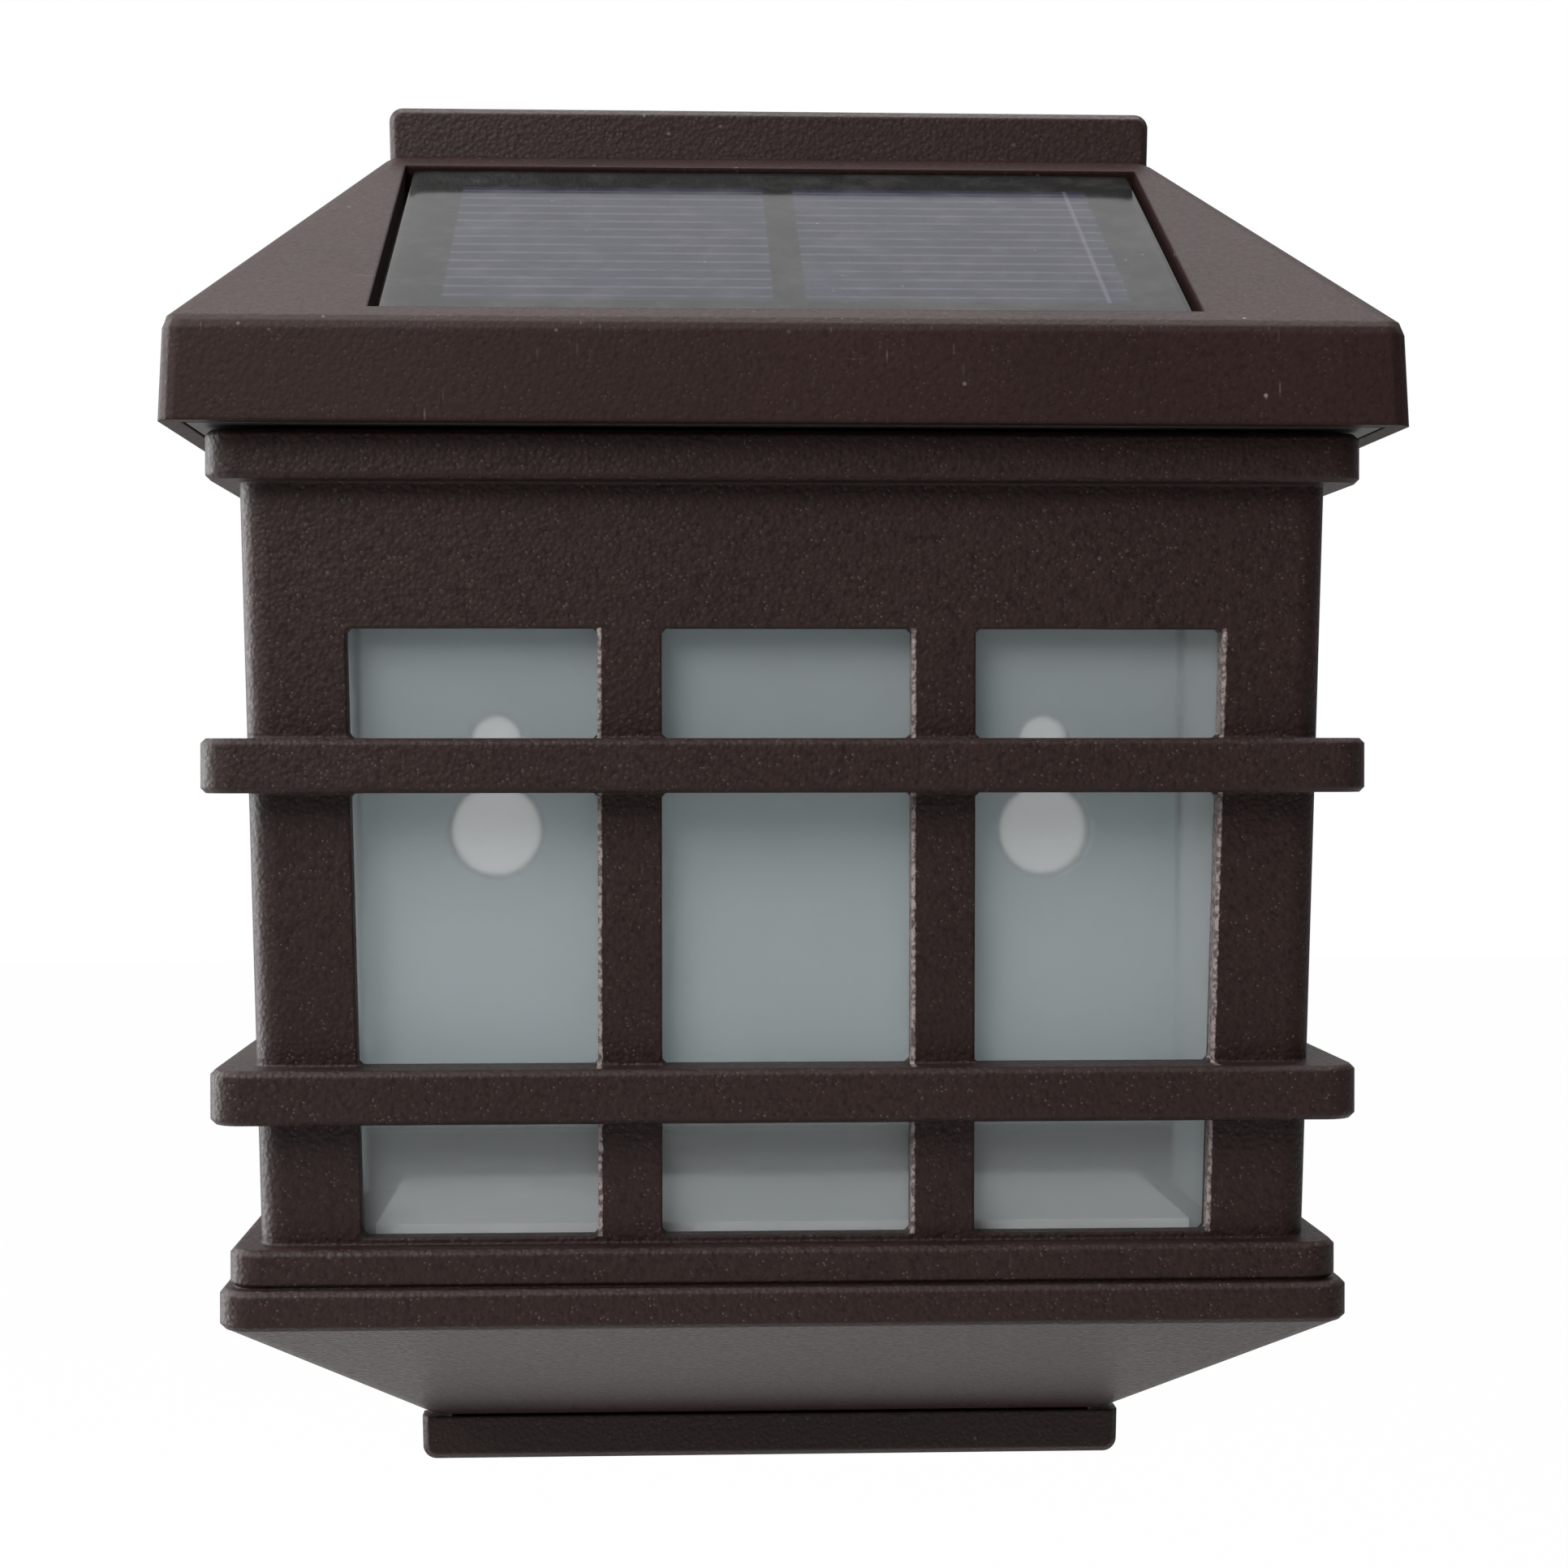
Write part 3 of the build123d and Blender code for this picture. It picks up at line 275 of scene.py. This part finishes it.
def brown_plastic(name, texture, wear, sheen=0.44, level=0.30, arrises=False):
    """Dark brown moulded plastic: eroded grain, darkened in its low parts by painted shade, pale
    specks of painted glint on its high parts, soft arrises, dust and scratches; the arrises flag
    adds a painted highlight on the windows' right-hand arrises.
    """
    m = Mat(name)
    grain = m.noise(GRAIN_SCALE, 3.0, 0.7)
    pits = m.voronoi(PIT_SCALE)
    tint = m.mottled(m.noise(CLOUD_SCALE, 3.0, 0.55), BROWN_DARK, BROWN_LIGHT)
    # painted shade darkens the grain's hollows, and painted glints light up its tips
    hollow_shade = m.product(m.remap(grain, 0.52, 0.36), HOLLOW_SHADE_SHARE * texture)
    tint = m.mix(hollow_shade, tint, HOLLOW_SHADE_TINT)
    glints = m.math("MULTIPLY", m.remap(pits, 0.26, 0.08), m.remap(m.noise(650, 2.0), 0.44, 0.60))
    tint = m.mix(m.product(glints, GLINT_SHARE * texture), tint, GLINT_TINT)
    dust = m.specks(520, (0.12, 0.06), 110, (0.57, 0.65))
    tint = m.mix(m.product(dust, DUST_SHARE * wear), tint, DUST_TINT)
    for across, up, size, place in STROKES:
        strokes = m.remap(m.voronoi(1.0, m.scaled(across, across, up)), size, size * 0.4)
        where = m.remap(m.noise(75, 2.0), place, place + 0.08)
        tint = m.mix(m.product(strokes, where, SCRATCH_SHARE * wear), tint, SCRATCH_TINT)
    # painted highlight on the windows' right-hand arrises
    if arrises:
        tint = painted_arris_highlight(m, tint)
    normal = m.bump(pits, 0.45 * texture, PIT_DEPTH, m.soft_edge(BROWN_EDGE))
    normal = m.bump(grain, 0.40 * texture, GRAIN_DEPTH, normal)
    rough = m.varied(grain, sheen - 0.06, sheen + 0.10)
    return m.made_of(m.principled(
        Base_Color=tint, Roughness=rough, IOR=1.47, Specular_IOR_Level=level, Normal=normal))


# ------------------------------------------------------------------ other plain materials
PLASTIC_EDGE = 0.25 * MM
PLASTIC_GRAIN_DEPTH = 0.06 * MM
BRUSH_DEPTH = 0.04 * MM
METAL_EDGE = 0.12 * MM
METAL_SCALE = 700
STAIN = (0.8, 0.78, 0.74)  # share of each colour left where the metal is stained
STAIN_SPAN = (0.35, 0.7)
LAMP_TINT = (0.95, 0.96, 0.93, 1)
LAMP_RIPPLE = 0.05 * MM


def plain_plastic(name, colour, rough, mottle=0.12, grain=0.15):
    """Moulded or pressed surface with slight mottling and grain."""
    m = Mat(name)
    tint = m.mottled(m.noise(120, 4.0), shade(colour, 1 - mottle), shade(colour, 1 + mottle))
    fine = m.noise(2500, 2.0)
    normal = m.bump(fine, grain, PLASTIC_GRAIN_DEPTH, m.soft_edge(PLASTIC_EDGE))
    rough = m.varied(fine, rough - 0.06, rough + 0.06)
    return m.made_of(m.principled(Base_Color=tint, Roughness=rough, Normal=normal))


def metal(name, colour, rough, brushed=(1, 1, 1)):
    """Bare metal with fine lines, stretched by the brushed factors, and a light stain."""
    m = Mat(name)
    lines = m.noise(1.0, 3.0, 0.6, m.scaled(*[METAL_SCALE * v for v in brushed]))
    stained = tuple(c * share for c, share in zip(colour, STAIN)) + (1,)
    tint = m.mottled(m.noise(90, 3.0), colour + (1,), stained, STAIN_SPAN)
    normal = m.bump(lines, 0.12, BRUSH_DEPTH, m.soft_edge(METAL_EDGE))
    rough = m.varied(lines, rough - 0.07, rough + 0.09)
    return m.made_of(m.principled(Base_Color=tint, Metallic=1.0, Roughness=rough, Normal=normal))


def lamp_epoxy():
    """Clear resin of the two lamps."""
    m = Mat("lamp_epoxy")
    haze = m.noise(400, 2.0)
    return m.made_of(m.principled(
        Base_Color=LAMP_TINT, Roughness=m.varied(haze, 0.04, 0.10), IOR=1.54,
        Transmission_Weight=0.9, Normal=m.bump(haze, 0.04, LAMP_RIPPLE)))


# ------------------------------------------------------------------ frosted liner
LINER_DARK = (0.93, 0.955, 0.96, 1)
LINER_LIGHT = (0.96, 0.98, 0.985, 1)
MILK_TINT = (0.84, 0.92, 0.94, 1)
MILK_THROUGH_TINT = (0.92, 0.92, 0.915, 1)
MILK_THROUGH = 0.38  # share of the milk's light that passes
MILK = (0.20, 0.78)  # share of milk in the front pane and in the side walls
LINER_ROUGH = (0.095, 0.12)


def frosted():
    """The front lets the chamber show softly, the side walls are milkier and glow."""
    m = Mat("frosted_liner")
    tint = m.mottled(m.noise(26, 3.0, 0.5), LINER_DARK, LINER_LIGHT)
    rough = m.varied(m.noise(3000, 2.0), *LINER_ROUGH)
    clear = m.principled(Base_Color=tint, Roughness=rough, IOR=1.45, Transmission_Weight=0.95)
    facing = m.shader("ShaderNodeBsdfDiffuse", MILK_TINT)
    through = m.shader("ShaderNodeBsdfTranslucent", MILK_THROUGH_TINT)
    milk = m.blend(MILK_THROUGH, facing, through)
    sideways = m.axes(m.node("ShaderNodeNewGeometry").outputs["True Normal"])[0]
    share = m.remap(m.math("ABSOLUTE", sideways), 0.3, 0.8, *MILK)
    return m.made_of(m.blend(share, clear, milk))


# ------------------------------------------------------------------ solar panel
EAVE = Vector((0.0, -45.658, 41.2)) * MM  # foot of the roof slope, middle
SLOPE = math.radians(28.40)
UP_SLOPE = Vector((0.0, math.cos(SLOPE), math.sin(SLOPE)))
OUT = Vector((0.0, -math.sin(SLOPE), math.cos(SLOPE)))
PANEL_HALF = 36.1 * MM
PANEL_ENDS = (3.3 * MM, 44.75 * MM)  # up the slope from the eave
PANEL_SINK = 0.3 * MM  # cover below the roof surface
COVER_THICK = 1.2 * MM
COVER_INSET = 0.04 * MM  # the underside is this much smaller all round
MENISCUS = ((0.10 * MM, 0.4 * MM), (0.05 * MM, 2.6 * MM))  # depth at the edge, and how far it fades
LOW_SHARE = 0.3  # of the meniscus along the lower edge
NEAR_EDGE = (0.0, 0.12, 0.28, 0.5, 0.8, 1.2, 1.8, 2.7, 4.0, 6.0, 9.0)  # mesh lines, mm from an edge
CELLS = ((-30.8 * MM, -1.2 * MM), (1.75 * MM, 31.0 * MM))
CELL_ENDS = (5.9 * MM, 39.0 * MM)
CELL_SOFT = 0.12 * MM
FINGERS = 14
BUS_INSET = 2.2 * MM  # from the right-hand cell's outer end
BUS_WIDTH = 0.35 * MM
DUSTY_EDGE = 1.6 * MM
PANEL_RIPPLE = 0.12 * MM

SILICON = ((0.0120, 0.0125, 0.0230, 1), (0.0210, 0.0215, 0.0380, 1))
BOARD = ((0.0075, 0.0085, 0.0085, 1), (0.0115, 0.0125, 0.0125, 1))
FINGER_TINT = (0.070, 0.070, 0.084, 1)
BUS_TINT = (0.10, 0.085, 0.12, 1)
PANEL_DUST_TINT = (0.42, 0.41, 0.39, 1)


def panel_cover():
    """Resin-covered panel: dark board, two cells with finger lines, all under one glossy face."""
    m = Mat("panel_cover")
    up = m.node("ShaderNodeVectorMath", operation="DOT_PRODUCT")
    m.put(up.inputs[0], m.coord)
    m.put(up.inputs[1], tuple(UP_SLOPE))
    along = m.math("SUBTRACT", up.outputs["Value"], EAVE.dot(UP_SLOPE))
    x = m.axes(m.coord)[0]
    cell = m.math("MAXIMUM", *[m.within(x, lo, hi, CELL_SOFT) for lo, hi in CELLS])
    cell = m.math("MULTIPLY", cell, m.within(along, *CELL_ENDS, CELL_SOFT))
    patch = m.noise(110, 3.0, 0.6)
    tint = m.mix(cell, m.mottled(patch, *BOARD), m.mottled(patch, *SILICON))
    # finger lines: nearness to the closest of evenly spaced lines
    pitch = (CELL_ENDS[1] - CELL_ENDS[0]) / FINGERS
    step = m.math("DIVIDE", m.math("SUBTRACT", along, CELL_ENDS[0]), pitch)
    near = m.math("ABSOLUTE", m.math("SUBTRACT", m.math("FRACT", step), 0.5))
    finger = m.product(m.remap(near, 0.16, 0.05), cell)
    broken = m.remap(m.noise(190, 2.0), 0.36, 0.52, 0.35, 1.0)
    tint = m.mix(m.product(finger, m.product(broken, 0.5)), tint, FINGER_TINT)
    bus_place = CELLS[1][1] - BUS_INSET
    bus = m.product(m.within(x, bus_place, bus_place + BUS_WIDTH, CELL_SOFT), cell)
    tint = m.mix(m.product(bus, 0.55), tint, BUS_TINT)
    # dust gathers along the lower edge
    low = m.remap(along, PANEL_ENDS[0] + DUSTY_EDGE, PANEL_ENDS[0], 0.25, 1.0)
    dust = m.product(m.specks(620, (0.11, 0.05), 130, (0.55, 0.66)), low)
    film = m.product(m.remap(m.noise(240, 3.0, 0.7), 0.45, 0.75), 0.04)
    tint = m.mix(m.math("MAXIMUM", m.product(dust, 0.8), film), tint, PANEL_DUST_TINT)
    normal = m.bump(m.noise(60, 2.0, 0.5), 0.12, PANEL_RIPPLE)
    gloss = m.remap(m.noise(150, 3.0), 0.35, 0.7, 0.05, 0.10)
    rough = m.math("ADD", gloss, m.product(dust, 0.4))
    return m.made_of(m.principled(Base_Color=tint, Roughness=rough, IOR=1.5, Normal=normal))


def grid_faces(bm, grid):
    """Faces between neighbouring rows of vertices."""
    for row, beside in zip(grid, grid[1:]):
        for j in range(len(row) - 1):
            bm.faces.new((row[j], beside[j], beside[j + 1], row[j + 1]))


def link_mesh(name, bm, material):
    """Turns a bmesh into a smooth piece with one material."""
    bmesh.ops.recalc_face_normals(bm, faces=bm.faces)
    mesh = bpy.data.meshes.new(name)
    bm.to_mesh(mesh)
    bm.free()
    for poly in mesh.polygons:
        poly.use_smooth = True
    obj = bpy.data.objects.new(name, mesh)
    bpy.context.collection.objects.link(obj)
    mesh.materials.append(material)
    return obj


def cover_point(u, v, depth):
    """Point of the panel: across, up the slope from the eave, and below the roof surface."""
    return EAVE + UP_SLOPE * v + Vector((u, 0, 0)) - OUT * depth


def cover_top(u, v):
    """Point of the cover's face, which dips towards its edges."""
    reach = (PANEL_HALF - abs(u), v - PANEL_ENDS[0], PANEL_ENDS[1] - v)
    side, low, high = [sum(dip * math.exp(-d / fade) for dip, fade in MENISCUS) for d in reach]
    return cover_point(u, v, PANEL_SINK + side + LOW_SHARE * low + high)


def mesh_lines(lo, hi):
    """Places of the mesh lines from lo to hi, close together near both."""
    middle = [lo + (hi - lo) * k / 10 for k in range(3, 8)]
    return sorted([lo + v * MM for v in NEAR_EDGE] + middle + [hi - v * MM for v in NEAR_EDGE])


def cover_piece(material):
    """Cover with a meniscus round its edge, in place of the flat sheet and the cells under it."""
    bm = bmesh.new()
    columns = mesh_lines(-PANEL_HALF, PANEL_HALF)
    grid = [[bm.verts.new(cover_top(u, v)) for v in mesh_lines(*PANEL_ENDS)] for u in columns]
    grid_faces(bm, grid)
    rim = [row[0] for row in grid] + grid[-1][1:]
    rim += [row[-1] for row in grid[-2::-1]] + grid[0][-2:0:-1]
    under = []
    for vert in rim:
        foot = vert.co - EAVE
        half = PANEL_HALF - COVER_INSET
        u = max(-half, min(half, foot.x))
        v = foot.dot(UP_SLOPE)
        v = max(PANEL_ENDS[0] + COVER_INSET, min(PANEL_ENDS[1] - COVER_INSET, v))
        under.append(bm.verts.new(cover_point(u, v, PANEL_SINK + COVER_THICK)))
    for k in range(len(rim)):
        n = (k + 1) % len(rim)
        bm.faces.new((rim[k], rim[n], under[n], under[k]))
    bm.faces.new(under)
    obj = link_mesh("panel_cover", bm, material)
    obj.data.set_sharp_from_angle(angle=math.radians(50))
    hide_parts("panel_glass", "solar_cells")
    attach(obj, "solar_head")


# ------------------------------------------------------------------ looks of the pieces
panel_look = panel_cover()
cover_piece(panel_look)

# the body carries the painted highlight on its window arrises
brown_body = brown_plastic("brown_body", texture=1.0, wear=0.3, arrises=True)
brown_cap = brown_plastic("brown_cap", texture=0.45, wear=1.0, sheen=0.48, level=0.17)
brown_plate = brown_plastic("brown_plate", texture=0.7, wear=0.6)
black_plastic = plain_plastic("black_plastic", (0.022, 0.022, 0.023), 0.42)
zinc = metal("zinc_steel", (0.66, 0.65, 0.62), 0.30)
spring_steel = metal("spring_steel", (0.70, 0.68, 0.63), 0.24, (1, 6, 1))
lamp_look = lamp_epoxy()

LOOKS = {
    "housing": brown_body,
    "wall_plate": brown_plate,
    "roof_cap": brown_cap,
    "plate_screws": zinc,
    "tray_screws": zinc,
    "board_screws": zinc,
    "contact_plate": spring_steel,
    "contact_spring": spring_steel,
    "diffuser": frosted(),
    "floor_reflector": plain_plastic("white_reflector", (0.95, 0.91, 0.87), 0.48, 0.03, 0.1),
    "back_reflector": plain_plastic("teal_reflector", (0.72, 0.87, 0.91), 0.5, 0.03, 0.1),
    "head_tray": black_plastic,
    "battery_door": black_plastic,
    "switch_body": black_plastic,
    "switch_knob": plain_plastic("knob_white", (0.62, 0.61, 0.58), 0.4),
    "tray_gasket": plain_plastic("seal_foam", (0.035, 0.035, 0.036), 0.85, 0.25, 0.6),
    "panel_adhesive": plain_plastic("adhesive", (0.50, 0.50, 0.47), 0.7, 0.1, 0.4),
    "panel_backing": plain_plastic("panel_backing", (0.020, 0.022, 0.026), 0.5),
    "cell_ribbons": metal("tinned_strip", (0.74, 0.73, 0.70), 0.3),
    "panel_lead_red": plain_plastic("red_sheath", (0.48, 0.035, 0.025), 0.38),
    "panel_lead_black": plain_plastic("black_sheath", (0.025, 0.025, 0.027), 0.38),
    "circuit_board": plain_plastic("board_green", (0.035, 0.17, 0.075), 0.34, 0.15, 0.3),
    "driver_chip": plain_plastic("chip_black", (0.02, 0.02, 0.02), 0.5),
    "inductor": plain_plastic("ferrite", (0.07, 0.07, 0.075), 0.6),
    "battery_cell": plain_plastic("cell_can", (0.10, 0.26, 0.17), 0.28, 0.06, 0.05),
    "panel_glass": panel_look,
    "solar_cells": panel_look,
    "led_left": lamp_look,
    "led_right": lamp_look,
}

for name, look in LOOKS.items():
    piece = nodes[name]
    if not piece.data.materials:
        piece.data.materials.append(look)
    for slot in piece.material_slots:
        slot.material = look


# ------------------------------------------------------------------ stage
FLOOR_DROP = 0.18  # below the lowest point of the light
FLOOR_HALF = 3.0
FLOOR_STEPS = 8
FLOOR_GREY = (0.45, 0.45, 0.44, 1)
FLOOR_SHOWN = 0.985  # share of plain white in what the camera sees of it

SKY_TINT = (1.0, 0.997, 0.992, 1)
SKY_BASE = 0.07
SKY_SHARES = (  # strength at the end of each direction, added to the base
    ("Y", 0.34),  # behind
    ("Z", 0.36),  # above
    ("Z", -0.20),  # below
    ("X", -0.55),  # left
)

LAMPS = (  # name, place, target, width, height, power, colour
    ("window_left", (-0.62, 0.20, 0.10), (0, 0.16, 0.03), 0.60, 0.90, 9.5, (0.98, 0.99, 1.0)),
    ("sky_above", (0.0, 0.10, 0.80), (0, -0.03, 0), 0.90, 0.80, 7.2, (1, 1, 1)),
    ("sky_behind", (-0.02, 0.56, 0.66), (0, -0.02, 0.05), 0.55, 0.34, 0.08, (1, 1, 1)),
    ("key", (-0.42, -0.60, 0.58), (0, 0, 0), 0.60, 0.60, 8.6, (1, 1, 1)),
)


def stage_material(name, colour, shown):
    """Grey surface to the lamps' light, white to the camera."""
    m = Mat(name)
    tint = m.mottled(m.noise(6, 3.0), colour, shade(colour, 1.04))
    grey = m.shader("ShaderNodeBsdfDiffuse", tint)
    glow = m.shader("ShaderNodeEmission", WHITE)
    return m.made_of(m.blend(m.product(m.camera_ray(), shown), grey, glow))


def floor():
    bm = bmesh.new()
    z = cad_box[0][2] - FLOOR_DROP
    lines = [-FLOOR_HALF + 2 * FLOOR_HALF * k / FLOOR_STEPS for k in range(FLOOR_STEPS + 1)]
    grid_faces(bm, [[bm.verts.new((x, y, z)) for y in lines] for x in lines])
    link_mesh("floor", bm, stage_material("floor", FLOOR_GREY, FLOOR_SHOWN))


def world():
    """Soft surroundings with a share from each side, plain white where the camera sees them."""
    w = Nodes(bpy.data.worlds.new("world"), "ShaderNodeOutputWorld")
    bpy.context.scene.world = w.owner
    direction = dict(zip("XYZ", w.axes(w.node("ShaderNodeTexCoord").outputs["Generated"])))
    strength = SKY_BASE
    for axis, share in SKY_SHARES:
        part = w.math("MAXIMUM", w.product(direction[axis], share), 0.0)
        strength = w.math("ADD", part, strength)
    ambient = w.node("ShaderNodeBackground")
    w.put(ambient.inputs["Color"], SKY_TINT)
    w.put(ambient.inputs["Strength"], strength)
    white = w.shader("ShaderNodeBackground", WHITE)
    w.made_of(w.blend(w.camera_ray(), ambient.outputs[0], white))


def lamp_panel(name, place, target, width, height, power, colour):
    data = bpy.data.lights.new(name, "AREA")
    data.shape = "RECTANGLE"
    data.size = width
    data.size_y = height
    data.energy = power
    data.color = colour
    obj = bpy.data.objects.new(name, data)
    obj.location = place
    aim = Vector(target) - Vector(place)
    obj.rotation_euler = aim.to_track_quat("-Z", "Y").to_euler()
    bpy.context.collection.objects.link(obj)


floor()
world()
for lamp in LAMPS:
    lamp_panel(*lamp)


# ------------------------------------------------------------------ camera
SENSOR = 36.0
LENS = 63.8
CAMERA_PLACE = (-0.01113, -0.2886, 0.00406)
YAW, PITCH, ROLL = [math.radians(v) for v in (2.494, -0.787, -0.031)]


def camera():
    data = bpy.data.cameras.new("camera")
    data.sensor_width = SENSOR
    data.sensor_fit = "HORIZONTAL"
    data.lens = LENS
    data.clip_start = 0.01
    obj = bpy.data.objects.new("camera", data)
    obj.location = CAMERA_PLACE
    level = Matrix.Rotation(-YAW, 4, "Z") @ Matrix.Rotation(math.pi / 2 + PITCH, 4, "X")
    obj.rotation_euler = (level @ Matrix.Rotation(ROLL, 4, "Z")).to_euler()
    bpy.context.collection.objects.link(obj)
    bpy.context.scene.camera = obj


camera()

bpy.context.scene.view_settings.view_transform = "Standard"
